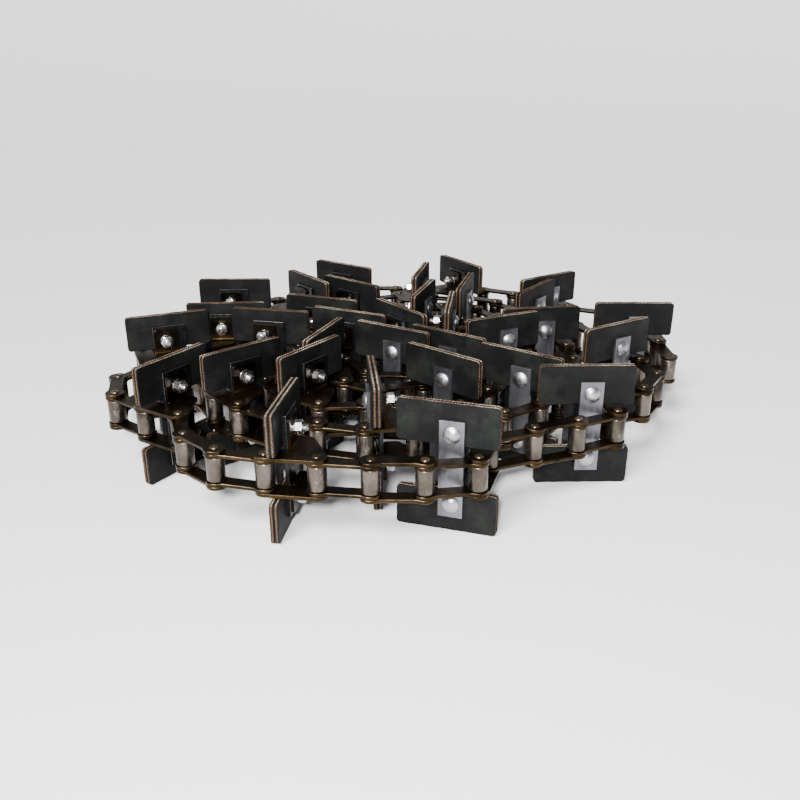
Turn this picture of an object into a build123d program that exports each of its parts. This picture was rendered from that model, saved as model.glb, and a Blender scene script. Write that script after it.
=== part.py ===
from build123d import *
import math
import os
import numpy as np

# Steel roller chain with rubber paddles, coiled on the floor with its pins upright.
# Millimetres, +Z up.  The floor is z = 0 and the origin is under the middle of the coil.
# Every link is drawn once, with its first pin at the origin, its second pin along +X
# and the inside of the coil towards +Y, and then copied along the chain.

# ---- chain ----
pitch = 41.4
roller_dia = 15.2
inner_width = 22.2
plate_thickness = 2.8
plate_width = 17.3
plate_waist = 12.5
waist_fillet = 9.0
pin_dia = 5.74
pin_head_dia = 7.4
pin_head_height = 1.3
bush_dia = 8.9
roller_chamfer = 0.8

# ---- clearances ----
pin_clearance = 0.05
roller_clearance = 0.10
side_clearance = 0.25
hole_clearance = 0.35
lay_clearance = 3.0

# ---- paddle and what clamps it ----
paddle_spacing = 4
flap_width = 83.0
flap_height = 36.0
flap_corner = 3.0
flap_outreach = 15.0
flap_lift = 1.3
sheet_thickness = 3.75
sheets_per_flap = 2
clamp_place = 16.0
tab_width = 24.0
tab_height = 24.6
tab_corner = 4.0
bend_radius = 2.0
attachment_reach = 34.5
attachment_tip = 31.0
attachment_corner = 5.0
bolt_line = 22.5
bolt_spacing = 60.0
strip_width = 20.0
strip_thickness = 2.8
strip_length = 83.0
backing_width = 32.0
backing_thickness = 3.0
backing_length = 88.0
bolt_dia = 6.35
bolt_head_dia = 14.5
bolt_head_height = 4.0
bolt_tail = 4.5
washer_dia = 11.8
washer_thickness = 1.8
washer_split = 1.6
nut_width = 11.1
nut_thickness = 5.6

# ---- how the chain lies ----
paddles = 33
free_links = 9
turn_spacing = 42.0
coil_centre = (-0.31, 0.17)
# The outermost turn, from the free end inwards along the chain: where the middle of
# each paddle's link lies, in pitches, and which way the link points, in degrees.
outer_turn = [
    (6.45, 1.35, 90),
    (4.45, 4.45, 123),
    (1.10, 6.05, 214),
    (-2.55, 5.40, 236),
    (-5.45, 3.15, 272),
    (-6.35, -0.40, 293),
    (-5.15, -3.60, 328),
    (-2.20, -5.80, 352),
    (1.40, -5.40, 76),
    (4.35, -3.20, 96),
    (5.35, -0.10, 122),
]
settling_rounds = 700

# ---- heights above and below the chain's middle plane ----
inner_plate_from = inner_width / 2
outer_plate_from = inner_plate_from + plate_thickness + side_clearance
outer_plate_to = outer_plate_from + plate_thickness
pin_end = outer_plate_to + pin_head_height
flap_from = pin_end + flap_lift
flap_to = flap_from + flap_height
middle_plane = flap_to

# ---- places along a paddle's link, from its first pin ----
flap_thickness = sheets_per_flap * sheet_thickness
backing_front = clamp_place - backing_thickness
flap_front = backing_front - flap_thickness
strip_front = flap_front - strip_thickness
tab_back = clamp_place + plate_thickness
nut_from = tab_back + washer_thickness
nut_to = nut_from + nut_thickness
bend_from = tab_back + bend_radius
backing_from = bolt_line - tab_width / 2
plate_half = plate_width / 2
waist_half = plate_waist / 2


# ---------------------------------------------------------------- the lay of the chain

def heading(angle):
    return np.array([math.cos(math.radians(angle)), math.sin(math.radians(angle))])


def bow(start, end):
    """The two pins of three links that span two points, bowed to the outside of the coil."""
    chord = end - start
    length = min(np.linalg.norm(chord), 3 * pitch)
    along = chord / np.linalg.norm(chord)
    outward = np.array([along[1], -along[0]])
    lean = math.acos((length / pitch - 1) / 2)
    step = pitch * (math.cos(lean) * along + math.sin(lean) * outward)
    return [start + step, start + step + pitch * along]


def spiral(start, count):
    """Pins one pitch apart on a spiral that winds inwards from a pin."""
    centre = np.array(coil_centre) * pitch
    radius = np.linalg.norm(start - centre)
    turned = math.atan2(*(start - centre)[::-1])
    pins = []
    for _ in range(count):
        angle = 2 * math.asin(min(1, pitch / 2 / radius))
        turned += angle
        radius -= turn_spacing * angle / (2 * math.pi)
        pins.append(centre + radius * np.array([math.cos(turned), math.sin(turned)]))
    return pins


def rough_lay():
    """Pins of the chain before it settles, from the free end inwards."""
    pins = []
    for x, y, angle in outer_turn:
        middle = np.array([x, y]) * pitch
        first = middle - heading(angle) * pitch / 2
        if pins:
            pins += bow(pins[-1], first)
        else:
            pins.append(first - heading(angle) * pitch)
        pins += [first, first + heading(angle) * pitch]
    links = paddle_spacing * paddles - 1
    return np.array(pins + spiral(pins[-1], links + 1 - len(pins)))


def cover(along, inward, radius):
    """Discs of one radius that cover a rectangle beside a link."""
    spans = []
    for low, high in (along, inward):
        count = max(1, math.ceil((high - low - 2 * radius) / (1.4 * radius)) + 1)
        ends = (low + radius, high - radius) if count > 1 else ((low + high) / 2,) * 2
        spans.append(np.linspace(*ends, count))
    return [(x, y, radius) for x in spans[0] for y in spans[1]]


def footprint(has_paddle):
    """Discs that cover a link in plan: at the height of the chain, and of the flaps."""
    ends = [(0, 0, plate_half), (pitch, 0, plate_half)]
    if not has_paddle:
        return ends + cover((plate_half, pitch - plate_half), (-waist_half, waist_half), waist_half), []
    around_bolt = (bolt_line - bolt_head_dia / 2, bolt_line + bolt_head_dia / 2)
    across_strip = (bolt_line - strip_width / 2, bolt_line + strip_width / 2)
    across_tab = (backing_from, backing_from + tab_width)
    across_nut = (bolt_line - nut_width / 2, bolt_line + nut_width / 2)
    backing = cover((backing_front, clamp_place), (backing_from, backing_from + backing_width),
                    backing_thickness / 2)
    chain_level = ends + cover((0, pitch), (-plate_half, plate_half), plate_half)
    chain_level += cover((clamp_place, attachment_tip), (plate_half, attachment_reach), 4.5)
    chain_level += cover((clamp_place, pitch), (plate_half, bolt_line), 4.5)
    chain_level += cover((strip_front, clamp_place), across_strip, 4.0) + backing
    flap_level = cover((flap_front, backing_front), (-flap_outreach, flap_width - flap_outreach),
                       flap_thickness / 2)
    flap_level += cover((strip_front - bolt_head_height, flap_front), around_bolt, 3.2)
    flap_level += cover((strip_front, flap_front), across_strip, strip_thickness / 2)
    flap_level += cover((backing_front, tab_back), across_tab, (backing_thickness + plate_thickness) / 2)
    flap_level += cover((tab_back, nut_to), across_nut, 2.2)
    flap_level += cover((nut_to, nut_to + bolt_tail), (bolt_line - 3, bolt_line + 3), 2.0) + backing
    return chain_level, flap_level


def lay_discs(links):
    """Every link's discs: link number, place along and inwards in pitches, radius, level."""
    rows = []
    for link in range(links):
        for level, discs in enumerate(footprint(has_paddle(link))):
            rows += [(link, x / pitch, y / pitch, radius, level) for x, y, radius in discs]
    return np.array(rows)


def hold_pitch(pins):
    """Moves neighbouring pins until they lie one pitch apart."""
    for _ in range(8):
        for parity in (0, 1):
            first = np.arange(parity, len(pins) - 1, 2)
            step = pins[first + 1] - pins[first]
            length = np.linalg.norm(step, axis=1, keepdims=True)
            shift = (length - pitch) / 2 * step / length
            pins[first] += shift
            pins[first + 1] -= shift


def settle(pins):
    """Pushes overlapping discs apart, as the pieces of a coiled chain do, at a constant pitch."""
    wanted = pins.copy()
    anchored = np.array([link + end for link in range(1, paddle_spacing * len(outer_turn), paddle_spacing)
                         for end in (0, 1)])
    table = lay_discs(len(pins) - 1)
    link = table[:, 0].astype(int)
    along, inward, radius, level = table[:, 1:].T
    body = inward == 0
    for count in range(settling_rounds):
        hold_pitch(pins)
        step = pins[link + 1] - pins[link]
        side = np.stack([-step[:, 1], step[:, 0]], 1)
        centre = pins[link] + along[:, None] * step + inward[:, None] * side
        if count % 25 == 0:
            one, two = close_pairs(centre, link, radius, level, body)
        gap = centre[two] - centre[one]
        apart = np.linalg.norm(gap, axis=1)
        deep = radius[one] + radius[two] + lay_clearance - apart
        hit = deep > 0
        push = gap[hit] / apart[hit][:, None]
        total = np.zeros_like(pins)
        shares = np.zeros(len(pins))
        for disc, sign in ((one[hit], -1), (two[hit], 1)):
            u, v = along[disc][:, None], inward[disc][:, None]
            towards = sign * push
            turned = np.stack([towards[:, 1], -towards[:, 0]], 1)
            on_first = (1 - u) * towards - v * turned
            on_second = u * towards + v * turned
            weight = (on_first ** 2).sum(1) + (on_second ** 2).sum(1)
            scale = (deep[hit] / 2 / weight)[:, None]
            for pin, move in ((link[disc], on_first), (link[disc] + 1, on_second)):
                np.add.at(total, pin, move * scale)
                np.add.at(shares, pin, 1)
        pins += total / np.maximum(1, shares / 2)[:, None]
        pull = 0.05 * max(0, 1 - count / (0.6 * settling_rounds))
        pins[anchored] += (wanted[anchored] - pins[anchored]) * pull
    print("left overlapping:", int(hit.sum()), "deepest", round(float(deep.max()), 2))
    return pins


def close_pairs(centre, link, radius, level, body):
    """Pairs of discs that could soon touch and belong to links that may not overlap."""
    pairs = []
    for height in (0, 1):
        index = np.nonzero(level == height)[0]
        x, y = centre[index].T
        reach = radius[index] + 12
        near = (x[:, None] - x) ** 2 + (y[:, None] - y) ** 2 < (reach[:, None] + reach) ** 2
        one, two = np.nonzero(np.triu(near, 1))
        pairs.append((index[one], index[two]))
    one, two = (np.concatenate(side) for side in zip(*pairs))
    steps = link[two] - link[one]
    hinged = (steps == 1) & ~(body[one] & ~body[two])
    keep = (steps != 0) & ~hinged
    return one[keep], two[keep]


def exact_pitch(pins):
    """The settled pins again, every one exactly a pitch from the one before it."""
    steps = np.diff(pins, axis=0)
    steps *= (pitch / np.linalg.norm(steps, axis=1))[:, None]
    return np.vstack([pins[:1], pins[0] + np.cumsum(steps, axis=0)])


def has_paddle(link):
    return link % paddle_spacing == 1


def is_inner(link):
    return link % 2 == 0


def centred(pins):
    """Moves the chain so that the origin is under the middle of all it covers."""
    corners = [pins - plate_half, pins + plate_half]
    for link in range(1, len(pins) - 1, paddle_spacing):
        step = (pins[link + 1] - pins[link]) / pitch
        side = np.array([-step[1], step[0]])
        for along in (flap_front, backing_front):
            for inward in (-flap_outreach, flap_width - flap_outreach):
                corners.append([pins[link] + along * step + inward * side])
    corners = np.vstack(corners)
    return pins - (corners.min(axis=0) + corners.max(axis=0)) / 2


chain_pins = centred(exact_pitch(settle(rough_lay())))


# ---------------------------------------------------------------- the pieces of one link

def waisted_outline():
    """Outline of a plain link plate: round ends joined by a narrower waist."""
    ends = Circle(plate_half) + Pos(pitch, 0) * Circle(plate_half)
    outline = ends + Pos(pitch / 2, 0) * Rectangle(pitch, plate_waist)
    corners = [v for v in outline.vertices() if plate_half * 0.5 < v.X < pitch - plate_half * 0.5]
    return fillet(corners, waist_fillet)


def plate(outline, low, hole):
    """A link plate lying between low and low + plate_thickness, with its two holes."""
    flat = outline - [Pos(x, 0) * Circle(hole / 2) for x in (0, pitch)]
    return Pos(0, 0, low) * extrude(flat, plate_thickness)


def pair(piece):
    """A piece above the middle plane and its mirror image below it."""
    return [piece, mirror(piece, Plane.XY)]


def attachment_outline():
    """Flat outline of a plate that carries a paddle: straight outside, a wing inside."""
    tip = (attachment_tip, attachment_reach)
    away = math.hypot(tip[0] - pitch, tip[1])
    turn = math.atan2(tip[1], tip[0] - pitch) - math.acos(plate_half / away)
    touch = (pitch + plate_half * math.cos(turn), plate_half * math.sin(turn))
    ends = Circle(plate_half) + Pos(pitch, 0) * Circle(plate_half)
    body = ends + Pos(pitch / 2, 0) * Rectangle(pitch, plate_width)
    root = (bend_from, 0)
    wing = make_face(Polyline((pitch, 0), touch, tip, (bend_from, attachment_reach), root, close=True))
    outline = body + wing
    corner = outline.vertices().sort_by_distance((*tip, 0))[0]
    return fillet(corner, attachment_corner)


def attachment_plate():
    """Upper outer plate of a paddle's link, with its tab bent up."""
    flat = plate(attachment_outline(), outer_plate_from, pin_dia)
    bend_height = outer_plate_to + bend_radius
    ring = Circle(bend_radius + plate_thickness) - Circle(bend_radius)
    size = bend_radius + plate_thickness
    quarter = (Pos(bend_from, bend_height) * ring) & (
        Pos(bend_from - size / 2, bend_height - size / 2) * Rectangle(size, size))
    rise = outer_plate_to + tab_height - bend_height
    upright = Pos(clamp_place + plate_thickness / 2, bend_height + rise / 2) * Rectangle(plate_thickness, rise)
    profile = Plane.XZ.offset(-backing_from) * (quarter + upright)
    tab = extrude(profile, -tab_width)
    top = tab.edges().filter_by(Axis.X).sort_by(Axis.Z)[-2:]
    tab = fillet(top, tab_corner)
    hole = Pos(clamp_place, bolt_line, bolt_spacing / 2) * Rot(0, 90, 0) * Cylinder(
        bolt_dia / 2 + hole_clearance, 4 * plate_thickness)
    return flat + tab - hole


def dome(radius, low, high):
    """Arc from a rim up to the axis, on a circle whose centre is on the axis."""
    rise = high - low
    round_radius = (radius ** 2 + rise ** 2) / (2 * rise)
    half_angle = math.asin(radius / round_radius) / 2
    middle = (round_radius * math.sin(half_angle), high - round_radius * (1 - math.cos(half_angle)))
    return ThreePointArc((radius, low), middle, (0, high))


def pin():
    """Link pin with both ends riveted over the outer plates."""
    half, head = pin_dia / 2, pin_head_dia / 2
    crown = pin_end - pin_head_height / 2
    shank = Polyline((0, pin_end), (0, 0), (half, 0), (half, outer_plate_to))
    rim = Polyline((half, outer_plate_to), (head, outer_plate_to), (head, crown))
    upper = revolve(Plane.XZ * make_face(shank + rim + dome(head, crown, pin_end)))
    return upper + mirror(upper, Plane.XY)


def tube(outer, bore, length):
    return extrude(Circle(outer / 2) - Circle(bore / 2), length / 2, both=True)


def bush():
    return tube(bush_dia, pin_dia + 2 * pin_clearance, 2 * (inner_plate_from + plate_thickness))


def roller():
    blank = tube(roller_dia, bush_dia + 2 * roller_clearance, inner_width - 2 * side_clearance)
    rims = blank.edges().filter_by(GeomType.CIRCLE).sort_by(SortBy.RADIUS)[-2:]
    return chamfer(rims, roller_chamfer)


def sheet(front, centre_height, width, height, thickness, inward_from):
    """A flat upright sheet across the link, with two bolt holes if they fall on it."""
    blank = Pos(front + thickness / 2, inward_from + width / 2, centre_height) * Box(thickness, width, height)
    return blank - bolt_holes(front, thickness)


def bolt_holes(front, thickness):
    hole = Rot(0, 90, 0) * Cylinder(bolt_dia / 2 + hole_clearance, thickness * 3)
    return [Pos(front + thickness / 2, bolt_line, side * bolt_spacing / 2) * hole for side in (1, -1)]


def flap_sheets():
    """The sheets of an upper flap, one behind the other."""
    sheets = []
    for number in range(sheets_per_flap):
        front = flap_front + number * sheet_thickness
        middle = (flap_from + flap_to) / 2
        blank = sheet(front, middle, flap_width, flap_height, sheet_thickness, -flap_outreach)
        sheets.append(fillet(blank.edges().filter_by(Axis.X).filter_by(GeomType.LINE), flap_corner))
    return sheets


def clamp_strip():
    return sheet(strip_front, 0, strip_width, strip_length, strip_thickness, bolt_line - strip_width / 2)


def backing_plate():
    return sheet(backing_front, 0, backing_width, backing_length, backing_thickness, backing_from)


def carriage_bolt():
    """Round-headed bolt through strip, flap, backing plate and tab, head to the front."""
    radius = bolt_head_dia / 2
    rim = 0.2 * bolt_head_height
    side = Polyline((0, bolt_head_height), (0, 0), (radius, 0), (radius, rim))
    head = revolve(Plane.XZ * make_face(side + dome(radius, rim, bolt_head_height)))
    shank = extrude(Circle(bolt_dia / 2), -(nut_to + bolt_tail - strip_front))
    return at_bolt(strip_front) * Rot(0, -90, 0) * (head + shank)


def lock_washer():
    ring = Circle(washer_dia / 2) - Circle(bolt_dia / 2 + hole_clearance)
    gap = Pos(washer_dia / 2, 0) * Rectangle(washer_dia, washer_split)
    return at_bolt(tab_back) * Rot(0, 90, 0) * extrude(ring - gap, washer_thickness)


def nut():
    blank = RegularPolygon(nut_width / 2, 6, major_radius=False) - Circle(bolt_dia / 2 + pin_clearance)
    return at_bolt(nut_from) * Rot(0, 90, 0) * extrude(blank, nut_thickness)


def at_bolt(place):
    return Pos(place, bolt_line, bolt_spacing / 2)


def inner_link():
    edge = plate(waisted_outline(), inner_plate_from, bush_dia)
    return {"plates": pair(edge), "bushes": [bush(), Pos(pitch, 0) * bush()]}


def outer_link():
    edge = plate(waisted_outline(), outer_plate_from, pin_dia)
    return {"plates": pair(edge), "pins": [pin(), Pos(pitch, 0) * pin()]}


def paddle_link():
    upper = flap_sheets()
    return {
        "attachment_plates": pair(attachment_plate()),
        "pins": [pin(), Pos(pitch, 0) * pin()],
        "upper_flap": upper,
        "lower_flap": [mirror(piece, Plane.XY) for piece in upper],
        "clamp_strip": [clamp_strip()],
        "backing_plate": [backing_plate()],
        "bolts": pair(carriage_bolt()),
        "lock_washers": pair(lock_washer()),
        "nuts": pair(nut()),
    }


# ---------------------------------------------------------------- the whole chain

def link_place(link):
    x, y = chain_pins[link]
    step = chain_pins[link + 1] - chain_pins[link]
    return Location((x, y, middle_plane), (0, 0, math.degrees(math.atan2(step[1], step[0]))))


def write(node, pieces):
    solids = [solid for piece in pieces for solid in piece.solids()]
    export_step(Compound(solids), f"parts/{node}.step")


os.makedirs("parts", exist_ok=True)
drawn = {"inner": inner_link(), "outer": outer_link(), "paddle": paddle_link()}
link_roller = roller()
coil = {}
for number in range(len(chain_pins) - 1):
    kind = "inner" if is_inner(number) else "paddle" if has_paddle(number) else "outer"
    place = link_place(number)
    free = number < free_links
    for name, pieces in drawn[kind].items():
        placed = [place * piece for piece in pieces]
        if free:
            write(f"{kind}_link_{number + 1}_{name}", placed)
        else:
            coil.setdefault(f"coil_{kind}_{name}", []).extend(placed)
    if kind == "inner":
        rollers = [place * link_roller, place * Pos(pitch, 0) * link_roller]
        if free:
            for end, piece in zip(("a", "b"), rollers):
                write(f"inner_link_{number + 1}_roller_{end}", [piece])
        else:
            coil.setdefault("coil_rollers", []).extend(rollers)
for node, pieces in coil.items():
    write(node, pieces)

for number in range(free_links + 1):
    x, y = chain_pins[number]
    print(f"pin {number}: {x:.4f} {y:.4f}")
print("last pin:", *(round(float(value), 4) for value in chain_pins[-1]))
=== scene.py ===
import math
import random

import bmesh
import bpy
from mathutils import Matrix, Vector


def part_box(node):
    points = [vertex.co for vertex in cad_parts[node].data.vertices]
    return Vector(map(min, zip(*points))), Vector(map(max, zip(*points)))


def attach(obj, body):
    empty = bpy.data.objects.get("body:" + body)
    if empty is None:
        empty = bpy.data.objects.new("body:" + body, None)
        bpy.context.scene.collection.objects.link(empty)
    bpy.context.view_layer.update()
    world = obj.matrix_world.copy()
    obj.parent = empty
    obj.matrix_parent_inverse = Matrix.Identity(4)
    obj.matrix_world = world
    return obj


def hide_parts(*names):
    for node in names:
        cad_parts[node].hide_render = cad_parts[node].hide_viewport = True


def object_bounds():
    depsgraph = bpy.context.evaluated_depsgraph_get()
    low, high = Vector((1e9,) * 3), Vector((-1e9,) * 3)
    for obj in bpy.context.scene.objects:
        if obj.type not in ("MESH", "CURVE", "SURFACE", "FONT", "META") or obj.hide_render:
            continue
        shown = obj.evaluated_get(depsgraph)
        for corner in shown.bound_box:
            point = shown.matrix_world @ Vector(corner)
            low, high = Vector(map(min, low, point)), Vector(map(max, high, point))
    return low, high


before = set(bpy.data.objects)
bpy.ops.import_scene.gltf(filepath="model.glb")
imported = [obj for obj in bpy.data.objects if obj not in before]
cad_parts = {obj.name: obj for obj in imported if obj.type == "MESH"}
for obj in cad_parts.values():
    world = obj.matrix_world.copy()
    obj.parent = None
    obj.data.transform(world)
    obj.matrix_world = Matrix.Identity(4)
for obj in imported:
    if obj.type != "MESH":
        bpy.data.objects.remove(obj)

# A coiled steel roller chain with rubber paddles, standing on the floor with its pins
# upright.  Lengths are in metres and +Z is up.
# Plates, rollers, strips, backing plates and lock washers are the solids' own shapes with
# their sharp edges broken.  Bolts, nuts and pins are made here and set in every place.
# Each sheet of belting is cut and frayed for itself.  The bushes are the solids themselves.

CAD_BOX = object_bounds()
MM = 0.001
draw = random.Random(11)
mid_height = sum(point.z for point in CAD_BOX) / 2


def body_of(prefix):
    return "coil" if prefix.startswith("coil") else prefix


# ---------------------------------------------------------------- finishes

def new_finish(name):
    material = bpy.data.materials.new(name)
    material.use_nodes = True
    return material, material.node_tree, material.node_tree.nodes["Principled BSDF"]


def add(tree, kind, **values):
    """A shader node, with the given numbers on its sockets and the given links into them."""
    made = tree.nodes.new("ShaderNode" + kind)
    for name, value in values.items():
        key = name.replace("_", " ")
        if isinstance(value, bpy.types.NodeSocket):
            tree.links.new(value, made.inputs[key])
        elif key in made.inputs:
            made.inputs[key].default_value = value
        else:
            setattr(made, name, value)
    return made


def place_in(tree, stretch=(1, 1, 1), source="Object"):
    where = tree.nodes.new("ShaderNodeTexCoord").outputs[source]
    return add(tree, "Mapping", Vector=where, Scale=stretch).outputs["Vector"]


def noise(tree, scale, detail, rough=0.55, stretch=(1, 1, 1), source="Object"):
    where = place_in(tree, stretch, source)
    made = add(tree, "TexNoise", Vector=where, Scale=scale, Detail=detail, Roughness=rough)
    return made.outputs["Fac"]


def ramp(tree, value, *stops):
    """Colour or grey that changes with a value: stops are (place, colour or grey)."""
    made = add(tree, "ValToRGB", Fac=value)
    row = made.color_ramp.elements
    while len(row) < len(stops):
        row.new(0.5)
    for element, (place, colour) in zip(row, stops):
        element.position = place
        element.color = (*colour, 1) if isinstance(colour, tuple) else (colour, colour, colour, 1)
    return made.outputs["Color"]


def mix(tree, amount, low, high):
    """From one colour to another as the amount goes from 0 to 1."""
    made = tree.nodes.new("ShaderNodeMix")
    made.data_type = "RGBA"
    for socket, value in ((made.inputs[0], amount), (made.inputs[6], low), (made.inputs[7], high)):
        if isinstance(value, bpy.types.NodeSocket):
            tree.links.new(value, socket)
        else:
            socket.default_value = (*value, 1) if isinstance(value, tuple) else value
    return made.outputs[2]


def arithmetic(tree, operation, first, second=0.0):
    made = add(tree, "Math", operation=operation)
    for socket, value in zip(made.inputs, (first, second)):
        if isinstance(value, bpy.types.NodeSocket):
            tree.links.new(value, socket)
        else:
            socket.default_value = value
    return made.outputs[0]


def bump(tree, height, strength, distance):
    return add(tree, "Bump", Height=height, Strength=strength, Distance=distance).outputs["Normal"]


# Painted shade on the attachment tabs beyond the chain's plates: its colour, how much of it covers the
# bronze, and over what height it fades in.
PAINTED_SHADE = (0.007, 0.006, 0.005)
PAINTED_SHADE_SHARE = 0.75
PAINTED_SHADE_FADE = 0.003


def steel(name, dark, light, worn, rough, metallic=0.9, streak=(1, 1, 1), grain=220.0, wear=0.62,
          coat=0.0, painted_shade_beyond=None):
    """Steel with a cloudy oil film, fine grain and bare, brighter patches.  Where a height above
    or below the chain's middle plane is given, painted shade darkens it beyond that."""
    material, tree, shader = new_finish(name)
    cloud = noise(tree, scale=38.0, detail=5.0, stretch=streak)
    fine = noise(tree, scale=grain, detail=3.0, stretch=streak)
    film = mix(tree, ramp(tree, cloud, (0.35, 0.0), (0.68, 1.0)), dark, light)
    patches = noise(tree, scale=95.0, detail=6.0, rough=0.7, stretch=streak)
    bare = ramp(tree, patches, (wear, 0.0), (wear + 0.1, 1.0))
    colour = mix(tree, bare, film, worn)
    # Painted shade: the colour goes near-black beyond the given height from the chain's middle plane.
    if painted_shade_beyond:
        height = add(tree, "SeparateXYZ", Vector=place_in(tree)).outputs["Z"]
        above = arithmetic(tree, "ABSOLUTE", arithmetic(tree, "SUBTRACT", height, mid_height))
        black = ramp(tree, above, (painted_shade_beyond, 0.0), (painted_shade_beyond + PAINTED_SHADE_FADE, PAINTED_SHADE_SHARE))
        colour = mix(tree, black, colour, PAINTED_SHADE)
    tree.links.new(colour, shader.inputs["Base Color"])
    gloss = ramp(tree, fine, (0.3, rough - 0.09), (0.7, rough + 0.12))
    tree.links.new(gloss, shader.inputs["Roughness"])
    tree.links.new(bump(tree, fine, strength=0.25, distance=0.00012), shader.inputs["Normal"])
    shader.inputs["Metallic"].default_value = metallic
    shader.inputs["Coat Weight"].default_value = coat
    shader.inputs["Coat Roughness"].default_value = 0.25
    return material


def rubber_face():
    """Black rubber with a faint cloudy bloom and dusty scuffs."""
    deep_black = (0.0018, 0.0021, 0.0020)
    bloom = (0.0056, 0.0063, 0.0059)
    dust = (0.021, 0.023, 0.020)
    material, tree, shader = new_finish("belting_rubber")
    cloud = noise(tree, scale=22.0, detail=6.0, rough=0.62)
    smear = noise(tree, scale=34.0, detail=7.0, rough=0.68)
    base = ramp(tree, cloud, (0.32, deep_black), (0.70, bloom))
    dusty = ramp(tree, smear, (0.47, 0.0), (0.76, 0.6))
    tree.links.new(mix(tree, dusty, base, dust), shader.inputs["Base Color"])
    tree.links.new(ramp(tree, cloud, (0.3, 0.50), (0.7, 0.68)), shader.inputs["Roughness"])
    shader.inputs["Specular IOR Level"].default_value = 0.11
    fine = noise(tree, scale=900.0, detail=2.0)
    coarse = noise(tree, scale=240.0, detail=4.0)
    grain = mix(tree, 0.5, fine, coarse)
    tree.links.new(bump(tree, grain, strength=0.35, distance=0.0002), shader.inputs["Normal"])
    return material


def ply_yarn(name, pale_from, pale_to, pale_tone_and_highlight):
    """The frayed ends of the fabric inside belting: slanting strands, brown here, paler there. The paler
    strands are bleached fibre, with painted highlight added where a brighter pale tone is given.
    """
    material, tree, shader = new_finish(name)
    strand = add(tree, "TexWave", Vector=place_in(tree, source="UV"), bands_direction="DIAGONAL",
                 Scale=1.45, Distortion=4.5, Detail=3.0, Detail_Scale=2.2).outputs["Fac"]
    fibre = mix(tree, 0.35, strand, noise(tree, scale=14.0, detail=3.0, source="UV"))
    brown = ramp(tree, fibre, (0.25, (0.008, 0.004, 0.0025)), (0.50, (0.052, 0.024, 0.012)),
                 (0.80, (0.19, 0.100, 0.052)))
    pale = ramp(tree, fibre, (0.27, (0.018, 0.009, 0.005)), (0.50, (0.17, 0.088, 0.046)),
                (0.76, pale_tone_and_highlight))
    bleach_and_highlight_share = ramp(tree, noise(tree, scale=17.0, detail=3.0), (pale_from, 0.0), (pale_to, 1.0))
    tree.links.new(mix(tree, bleach_and_highlight_share, brown, pale), shader.inputs["Base Color"])
    shader.inputs["Roughness"].default_value = 0.85
    shader.inputs["Specular IOR Level"].default_value = 0.2
    tree.links.new(bump(tree, fibre, strength=0.8, distance=0.0006), shader.inputs["Normal"])
    return material


# The upright ends of the ply are browner than those along the top and bottom; the paler, brighter ply
# along the top and bottom is in part painted highlight, for the light that falls on the top edges.
RUBBER = rubber_face()
PLY_ALONG = ply_yarn("belting_ply_along", pale_from=0.40, pale_to=0.58, pale_tone_and_highlight=(0.70, 0.57, 0.42))
PLY_DOWN = ply_yarn("belting_ply_down", pale_from=0.56, pale_to=0.78, pale_tone_and_highlight=(0.34, 0.23, 0.15))

# Each steel: its film from dark to light, its bare patches, and its roughness.
OILED, TARNISHED, RUBBED = (0.007, 0.0039, 0.0013), (0.046, 0.0275, 0.0095), (0.12, 0.080, 0.036)
BRONZE = steel("oiled_bronze_steel", OILED, TARNISHED, RUBBED, 0.35,
               metallic=0.96, coat=0.02, wear=0.63)
# The attachment tabs carry painted shade where they stand above and below the chain's plates.
TAB_BRONZE = steel("oiled_attachment_steel_painted_shade", OILED, TARNISHED, RUBBED, 0.35,
                   metallic=0.96, coat=0.02, wear=0.63, painted_shade_beyond=0.0195)
BRONZE_EDGE = steel("rubbed_bronze_edge", (0.034, 0.024, 0.014), (0.105, 0.080, 0.052),
                    (0.23, 0.185, 0.130), 0.31, metallic=0.98)
ROLLER = steel("roller_steel", (0.026, 0.020, 0.0155), (0.148, 0.126, 0.105),
               (0.24, 0.213, 0.19), 0.30, metallic=0.95, streak=(1, 1, 0.7), wear=0.58)
ROLLER_EDGE = steel("rubbed_roller_edge", (0.06, 0.05, 0.04), (0.22, 0.19, 0.16),
                    (0.36, 0.32, 0.28), 0.3)
PIN = steel("riveted_pin_steel", (0.045, 0.030, 0.017), (0.165, 0.122, 0.078),
            (0.40, 0.32, 0.23), 0.33)
BRIGHT = steel("bright_rolled_steel", (0.080, 0.080, 0.089), (0.205, 0.205, 0.225),
               (0.13, 0.122, 0.113), 0.37, streak=(1, 1, 0.3), grain=420.0)
DARK = steel("blackened_steel", (0.005, 0.005, 0.006), (0.015, 0.015, 0.017),
             (0.06, 0.06, 0.06), 0.34, metallic=0.7, coat=0.08, wear=0.68)
DARK_EDGE = steel("rubbed_black_edge", (0.14, 0.14, 0.15), (0.36, 0.36, 0.385),
                  (0.50, 0.50, 0.53), 0.3)
ZINC_HEAD = steel("zinc_bolt_head", (0.26, 0.26, 0.27), (0.50, 0.50, 0.52),
                  (0.36, 0.335, 0.30), 0.36, metallic=1.0, grain=500.0, wear=0.66)
ZINC = steel("bright_zinc", (0.42, 0.415, 0.41), (0.76, 0.76, 0.775),
             (0.54, 0.50, 0.44), 0.23, metallic=1.0, grain=500.0, wear=0.66)


# ---------------------------------------------------------------- shapes

# Corners this near are one corner.  Edges flatter than one angle are shaded smooth, flatter
# than the next are dissolved, and sharper than the last are broken.
same_corner = 0.002 * MM
smooth_below = math.radians(32)
flat_below = math.radians(1.5)
sharp_above = math.radians(40)


def finished(name, build, finishes, body, node):
    """Ends a piece: its mesh becomes an object that rides on a body and stands for a CAD node."""
    mesh = bpy.data.meshes.new(name)
    build.to_mesh(mesh)
    build.free()
    piece = bpy.data.objects.new(name, mesh)
    bpy.context.scene.collection.objects.link(piece)
    for material in finishes:
        mesh.materials.append(material)
    mesh.shade_smooth()
    mesh.set_sharp_from_angle(angle=smooth_below)
    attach(piece, body)
    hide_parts(node)


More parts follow.
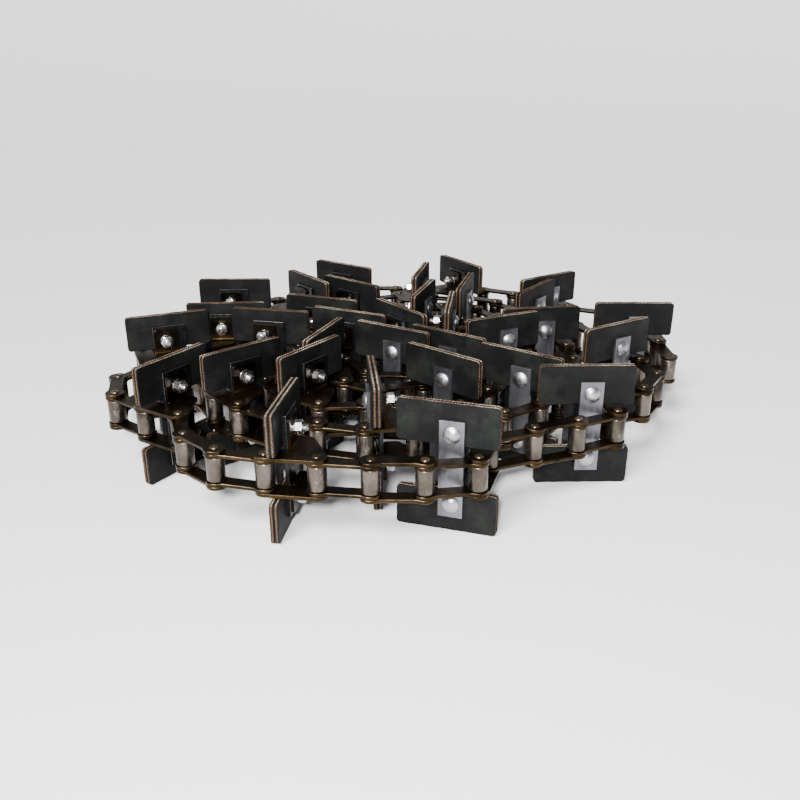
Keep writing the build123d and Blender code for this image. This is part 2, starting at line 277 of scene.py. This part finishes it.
def shells(node):
    """The corner points of each separate solid of a CAD node, the solids in order of place.
    Sheets that lie face to face count as one."""
    build = bmesh.new()
    build.from_mesh(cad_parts[node].data)
    bmesh.ops.remove_doubles(build, verts=build.verts, dist=same_corner)
    seen, found = set(), []
    for first in build.verts:
        if first in seen:
            continue
        seen.add(first)
        reached = [first]
        for corner in reached:
            for edge in corner.link_edges:
                other = edge.other_vert(corner)
                if other not in seen:
                    seen.add(other)
                    reached.append(other)
        found.append([corner.co.copy() for corner in reached])
    build.free()
    return sorted(found, key=lambda points: middle(points)[:])


def middle(points):
    return Vector([(min(p[k] for p in points) + max(p[k] for p in points)) / 2 for k in range(3)])


def softened(node, width, finishes, body):
    """A copy of a steel node with its sharp edges broken, the broken edges rubbed brighter."""
    build = bmesh.new()
    build.from_mesh(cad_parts[node].data)
    bmesh.ops.remove_doubles(build, verts=build.verts, dist=same_corner)
    bmesh.ops.dissolve_limit(build, angle_limit=flat_below, verts=build.verts, edges=build.edges)
    sharp = [e for e in build.edges if e.is_manifold and e.calc_face_angle(0) > sharp_above]
    bmesh.ops.bevel(build, geom=sharp, offset=width, offset_type="OFFSET", segments=1, profile=0.5,
                    affect="EDGES", material=1, clamp_overlap=True)
    finished(node + "_steel", build, finishes, body, node)


def bolt_spots(prefix):
    """Where each bolt is: X along the bolt, from under its head to its end, and Z up."""
    beyond_shank, tail_length = 5.5 * MM, 1.2 * MM
    spots = []
    for points in shells(prefix + "_bolts"):
        height = middle(points).z
        head = [p for p in points if abs(p.z - height) > beyond_shank]
        start = middle(head)
        farthest = max(points, key=lambda p: (p - start).xy.length)
        rough = (farthest - start).xy.normalized().to_3d()
        reach = (farthest - start).dot(rough)
        tail = middle([p for p in points if (p - start).dot(rough) > reach - tail_length])
        along = (tail - start).xy.normalized().to_3d()
        origin = start + along * max((p - start).dot(along) for p in head)
        origin.z = height
        axes = Matrix((along, Vector((-along.y, along.x, 0)), Vector((0, 0, 1)))).transposed()
        spots.append(Matrix.Translation(origin) @ axes.to_4x4())
    return spots


def set_at(spots, template, shift=Matrix.Identity(4)):
    """One bmesh that holds the template once at each spot."""
    build = bmesh.new()
    for spot in spots:
        before = len(build.verts)
        build.from_mesh(template)
        build.verts.ensure_lookup_table()
        bmesh.ops.transform(build, matrix=spot @ shift, verts=build.verts[before:])
    return build


def as_template(build):
    mesh = bpy.data.meshes.new("template")
    bmesh.ops.recalc_face_normals(build, faces=build.faces)
    build.to_mesh(mesh)
    build.free()
    return mesh


def turned(profile, steps):
    """A closed round shape about X from a profile of (x, radius) points, in millimetres."""
    build = bmesh.new()
    line = [build.verts.new((x * MM, radius * MM, 0)) for x, radius in profile]
    edges = [build.edges.new(pair) for pair in zip(line, line[1:])]
    bmesh.ops.spin(build, geom=line + edges, axis=(1, 0, 0), cent=(0, 0, 0), angle=2 * math.pi,
                   steps=steps, use_merge=True, use_duplicate=False)
    bmesh.ops.remove_doubles(build, verts=build.verts, dist=0.004 * MM)
    return build


def local_boxes(spot, node):
    """Where each solid of a node lies, seen from a bolt: low and high corners."""
    back, boxes = spot.inverted(), []
    for points in shells(node):
        near = [back @ p for p in points]
        boxes.append([Vector([pick(p[k] for p in near) for k in range(3)]) for pick in (min, max)])
    return boxes


# ---------------------------------------------------------------- belting

sheets_per_flap = 2
corner_steps = 4
cut_step = 2.0 * MM
sheet_corner = 3 * MM
# A sheet is this much smaller than its share of the flap's solid, and lies this far behind the
# front of that share.
trim_width, trim_height, trim_thickness = 1.0 * MM, 1.2 * MM, 0.25 * MM
front_gap = 0.12 * MM
# How far a sheet may slip sideways and upright, in millimetres, tilt, in degrees, and bow.
slip_sideways, slip_upright, tilt_degrees, bow_limit = 0.4, 0.1, 0.25, 0.3
# The cut edge: a slow wave and small nicks, and the longer fray of the ply, in millimetres.
wave_height, wave_turn = 0.09, 0.7
nick_in, nick_out = -0.12, 0.04
fray_in, fray_out = -0.30, 0.22
# Across a sheet, as shares of its thickness: where each ring lies, how far it stands out in
# millimetres, and whether it is the ragged end of the ply.
sheet_rings = ((0.0, -0.30, False), (0.09, 0.0, False), (0.31, 0.0, False), (0.36, 0.05, True),
               (0.64, 0.05, True), (0.69, 0.0, False), (0.91, 0.0, False), (1.0, -0.30, False))
ply_levels = (2, 3, 4)
steps_per_strand = 3


def sheet_outline(width, height):
    """Places round a sheet with rounded corners, clockwise from the left end of the top, each with
    its outward direction, and how many of them lie along the top and down one side."""
    places, counts = [], []
    for number in range(4):
        length = (width if number % 2 == 0 else height) - 2 * sheet_corner
        reach = (height if number % 2 == 0 else width) / 2
        turn = Matrix.Rotation(-math.pi / 2 * number, 2)
        count = round(length / cut_step)
        counts.append(count + 1)
        for k in range(count + 1):
            place = Vector((length * (k / count - 0.5), reach))
            places.append((turn @ place, turn @ Vector((0, 1))))
        for k in range(1, corner_steps):
            angle = math.pi / 2 * k / corner_steps
            out = Vector((math.sin(angle), math.cos(angle)))
            place = Vector((length / 2, reach - sheet_corner)) + out * sheet_corner
            places.append((turn @ place, turn @ out))
    return places, counts[0], counts[1]


def belting_sheet(build, spot, width, height, thickness):
    """One sheet of belting: black rubber cut a little ragged, its ply frayed along the cut edge."""
    places, top, side = sheet_outline(width, height)
    bow = draw.uniform(-bow_limit, bow_limit) * MM
    phase = draw.uniform(0, 9)
    strand_from = draw.uniform(0, 50)
    cut = []
    for number in range(len(places)):
        wave = wave_height * math.sin(number * wave_turn + phase)
        cut.append((wave + draw.uniform(nick_in, nick_out)) * MM)
    rings = []
    for share, outward, ragged in sheet_rings:
        ring = []
        for (place, out), rough in zip(places, cut):
            fray = draw.uniform(fray_in, fray_out) if ragged else 0.0
            y, z = place + out * (rough + (outward + fray) * MM)
            x = share * thickness + bow * (2 * y / width) ** 2
            ring.append(build.verts.new(spot @ Vector((x, y, z))))
        rings.append(ring)
    mapping = build.loops.layers.uv.verify()
    count = len(places)
    for level, (near, far) in enumerate(zip(rings, rings[1:])):
        for k in range(count):
            following = (k + 1) % count
            face = build.faces.new((near[k], near[following], far[following], far[k]))
            # Top and bottom ends take the paler ply, which is in part painted highlight; upright ends take
            # the browner one.
            sideways = abs(places[k][1].x) > abs(places[k][1].y)
            face.material_index = (2 if sideways else 1) if level in ply_levels else 0
            steps = (k, k + 1, k + 1, k)
            levels = (level, level, level + 1, level + 1)
            for loop, step, ring_number in zip(face.loops, steps, levels):
                across = sheet_rings[ring_number][0]
                loop[mapping].uv = (strand_from + step / steps_per_strand, across)
    # Both flat sides are closed by a face at each end and strips from top to bottom between them.
    bottom = top + side + 2 * (corner_steps - 1)
    for ring in (rings[0], rings[-1]):
        build.faces.new(ring[top - 1:bottom + 1])
        build.faces.new(ring[bottom + top - 1:] + ring[:1])
        for k in range(top - 1):
            build.faces.new((ring[k], ring[k + 1], ring[bottom + top - 2 - k], ring[bottom + top - 1 - k]))


def belting(prefix, bolts, upper):
    """The sheets of every upper or lower flap of a body, each clamped a little out of line."""
    which = "upper" if upper else "lower"
    low, high = flap_boxes[which]
    size, place = high - low, (low + high) / 2
    share = size.x / sheets_per_flap
    build = bmesh.new()
    for spot in bolts:
        if (spot.translation.z > mid_height) != upper:
            continue
        for number in range(sheets_per_flap):
            x = low.x + number * share + front_gap
            y = place.y + draw.uniform(-slip_sideways, slip_sideways) * MM
            z = place.z + draw.uniform(-slip_upright, slip_upright) * MM
            tilt = Matrix.Rotation(math.radians(draw.uniform(-tilt_degrees, tilt_degrees)), 4, "X")
            belting_sheet(build, spot @ Matrix.Translation((x, y, z)) @ tilt, size.y - trim_width,
                          size.z - trim_height, share - trim_thickness)
    bmesh.ops.recalc_face_normals(build, faces=build.faces)
    body = body_of(prefix)
    finished(f"{which}_belting_{body}", build, (RUBBER, PLY_ALONG, PLY_DOWN), body,
             f"{prefix}_{which}_flap")


# ---------------------------------------------------------------- bolts, nuts and pins

def bolt_template(length):
    """Round-headed bolt along X, its head below zero, with thread rings on its free end."""
    head_radius, head_rise, head_rim = 7.25, 4.0, 0.8
    shank_radius, crest_radius, root_radius = 3.1, 3.16, 2.72
    thread_length, pitch, plain_end = 14.0, 1.0, 1.2
    dome_rise = head_rise - head_rim
    dome_radius = (head_radius ** 2 + dome_rise ** 2) / (2 * dome_rise)
    profile = [(-head_rise, 0)]
    for share in (0.12, 0.24, 0.36, 0.48, 0.6, 0.72, 0.84, 0.93, 1.0):
        angle = math.asin(head_radius / dome_radius) * share
        profile.append((-head_rise + dome_radius * (1 - math.cos(angle)), dome_radius * math.sin(angle)))
    profile += [(-0.12, head_radius), (0, head_radius - 0.15), (0, shank_radius)]
    place = length - thread_length
    profile.append((place, shank_radius))
    while place < length - plain_end:
        profile += [(place + 0.25, crest_radius), (place + 0.6, root_radius)]
        place += pitch
    profile += [(length - 0.7, 2.9), (length, 2.3), (length, 0)]
    build = turned(profile, 24)
    under_head = 0.5 * MM
    for face in build.faces:
        face.material_index = 1 if face.calc_center_median().x > under_head else 0
    return as_template(build)


def nut_template(width, thickness):
    """Hexagon nut about X from 0 to its thickness, with both faces chamfered at 30 degrees."""
    corner_radius = width / 2 / math.cos(math.pi / 6) * MM
    chamfer_out, chamfer_up, chamfer_depth = 0.5, 0.866, 0.02 * MM
    build = bmesh.new()
    bmesh.ops.create_cone(build, cap_ends=True, segments=6, radius1=corner_radius,
                          radius2=corner_radius, depth=thickness * MM)
    for side in (1, -1):
        for number in range(12):
            turn = math.radians(30 * number)
            across, along = math.cos(turn), math.sin(turn)
            normal = Vector((across * chamfer_out, along * chamfer_out, side * chamfer_up))
            start = Vector((across * width / 2 * MM, along * width / 2 * MM, side * thickness / 2 * MM))
            made = bmesh.ops.bisect_plane(build, geom=build.verts[:] + build.edges[:] + build.faces[:],
                                          plane_co=start - normal * chamfer_depth, plane_no=normal,
                                          clear_outer=True, dist=0.001 * MM)
            rim = [e for e in made["geom_cut"] if isinstance(e, bmesh.types.BMEdge)]
            if rim:
                bmesh.ops.contextual_create(build, geom=rim)
    bmesh.ops.remove_doubles(build, verts=build.verts, dist=0.01 * MM)
    bmesh.ops.rotate(build, verts=build.verts, matrix=Matrix.Rotation(math.pi / 2, 3, "Y"))
    bmesh.ops.translate(build, verts=build.verts, vec=(thickness / 2 * MM, 0, 0))
    return as_template(build)


def pin_template(length):
    """Link pin along X with a staked, riveted head at each end."""
    half = length / 2
    profile = [(-half + 0.35, 0), (-half + 0.30, 1.0), (-half, 1.5), (-half + 0.08, 2.3),
               (-half + 0.45, 3.3), (-half + 1.25, 3.7), (-half + 1.3, 2.87)]
    profile += [(-x, radius) for x, radius in reversed(profile)]
    return as_template(turned(profile, 14))


def pins(prefix, node):
    """Pins of a body, each turned differently about its own axis."""
    spots = []
    for points in shells(node):
        stand_up = Matrix.Rotation(-math.pi / 2, 4, "Y")
        spin = Matrix.Rotation(draw.uniform(0, 6.28), 4, "X")
        spots.append(Matrix.Translation(middle(points)) @ (stand_up @ spin))
    low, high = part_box(node)
    template = pin_template((high.z - low.z) / MM)
    finished(f"{node}_riveted", set_at(spots, template), (PIN,), body_of(prefix), node)


# ---------------------------------------------------------------- the chain

# What one paddle's pieces measure from their bolt, taken on the first paddle's link.
low_bolt, high_bolt = sorted(bolt_spots("paddle_link_2"), key=lambda spot: spot.translation.z)
flap_boxes = {"upper": local_boxes(high_bolt, "paddle_link_2_upper_flap")[0],
              "lower": local_boxes(low_bolt, "paddle_link_2_lower_flap")[0]}
bolt_end = max(box[1].x for box in local_boxes(high_bolt, "paddle_link_2_bolts")) / MM
nut_low, nut_high = min(local_boxes(high_bolt, "paddle_link_2_nuts"),
                        key=lambda box: (box[0] + box[1]).length)
nut_width, nut_thickness = (nut_high.y - nut_low.y) / MM, (nut_high.x - nut_low.x) / MM
nut_shift = Matrix.Translation((nut_low.x, 0, 0))

plate_edge, backing_edge, roller_edge, washer_edge = 0.35 * MM, 0.5 * MM, 0.3 * MM, 0.2 * MM

for prefix in ("coil_paddle", "paddle_link_2", "paddle_link_6"):
    body = body_of(prefix)
    bolts = bolt_spots(prefix)
    belting(prefix, bolts, True)
    belting(prefix, bolts, False)
    finished(f"round_bolts_{body}", set_at(bolts, bolt_template(bolt_end)), (ZINC_HEAD, ZINC), body,
             prefix + "_bolts")
    nuts = set_at(bolts, nut_template(nut_width, nut_thickness), nut_shift)
    finished(f"hexagon_nuts_{body}", nuts, (ZINC,), body, prefix + "_nuts")
    softened(prefix + "_clamp_strip", plate_edge, (BRIGHT, BRIGHT), body)
    softened(prefix + "_backing_plate", backing_edge, (DARK, DARK_EDGE), body)
    softened(prefix + "_attachment_plates", plate_edge, (TAB_BRONZE, BRONZE_EDGE), body)
    softened(prefix + "_lock_washers", washer_edge, (ZINC, ZINC), body)
    pins(prefix, prefix + "_pins")

for prefix in ("coil_outer", "outer_link_4", "outer_link_8"):
    softened(prefix + "_plates", plate_edge, (BRONZE, BRONZE_EDGE), body_of(prefix))
    pins(prefix, prefix + "_pins")

for prefix in ("coil_inner", "inner_link_1", "inner_link_3", "inner_link_5", "inner_link_7",
               "inner_link_9"):
    softened(prefix + "_plates", plate_edge, (BRONZE, BRONZE_EDGE), body_of(prefix))
    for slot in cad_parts[prefix + "_bushes"].material_slots:
        slot.material = PIN

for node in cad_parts:
    if "roller" in node:
        softened(node, roller_edge, (ROLLER, ROLLER_EDGE), body_of(node))


# ---------------------------------------------------------------- floor, light, camera

def lamp(name, place, aim, size, power):
    light = bpy.data.lights.new(name, "AREA")
    light.shape = "DISK"
    light.size = size
    light.energy = power
    made = bpy.data.objects.new(name, light)
    made.location = place
    made.rotation_euler = (Vector(aim) - Vector(place)).to_track_quat("-Z", "Y").to_euler()
    bpy.context.scene.collection.objects.link(made)


def sun(name, direction, spread, strength):
    light = bpy.data.lights.new(name, "SUN")
    light.angle = math.radians(spread)
    light.energy = strength
    made = bpy.data.objects.new(name, light)
    made.rotation_euler = (-Vector(direction)).to_track_quat("-Z", "Y").to_euler()
    bpy.context.scene.collection.objects.link(made)


# A pale round floor that rises gently far from the chain, so that it fills the view all round.
flat_reach, rise_step, rise_rate, rim = 3, 0.5, 0.01, (40, 7.7)
profile = [(0, 0), (flat_reach, 0)]
profile += [(flat_reach + rise_step * k, rise_rate * k ** 2) for k in range(1, 13)] + [rim]
build = bmesh.new()
line = [build.verts.new((reach, 0, height)) for reach, height in profile]
edges = [build.edges.new(pair) for pair in zip(line, line[1:])]
bmesh.ops.spin(build, geom=line + edges, axis=(0, 0, 1), cent=(0, 0, 0), angle=2 * math.pi, steps=96,
               use_merge=True, use_duplicate=False)
bmesh.ops.remove_doubles(build, verts=build.verts, dist=MM)
bmesh.ops.recalc_face_normals(build, faces=build.faces)
floor_mesh = bpy.data.meshes.new("floor")
build.to_mesh(floor_mesh)
build.free()
floor_mesh.shade_smooth()
floor = bpy.data.objects.new("floor", floor_mesh)
bpy.context.scene.collection.objects.link(floor)
pale_floor, _, shader = new_finish("pale_floor")
shader.inputs["Base Color"].default_value = (0.93, 0.93, 0.93, 1)
shader.inputs["Roughness"].default_value = 0.9
floor_mesh.materials.append(pale_floor)

world = bpy.data.worlds.new("studio")
world.use_nodes = True
background = world.node_tree.nodes["Background"]
background.inputs["Color"].default_value = (1, 1, 1, 1)
background.inputs["Strength"].default_value = 0.35
bpy.context.scene.world = world
lamp("flash", place=(-0.10, -1.15, 0.62), aim=(0, 0, 0.05), size=0.12, power=26)
sun("window", direction=(-0.35, -0.5, 0.75), spread=25, strength=6)

camera = bpy.data.cameras.new("camera")
camera.lens = 38.25
camera.sensor_width = 36.0
camera.clip_start = 0.01
eye = bpy.data.objects.new("camera", camera)
eye.location = (-0.0067, -0.829, 0.360)
eye.rotation_euler = (math.radians(67.4), 0, 0)
bpy.context.scene.collection.objects.link(eye)
bpy.context.scene.camera = eye
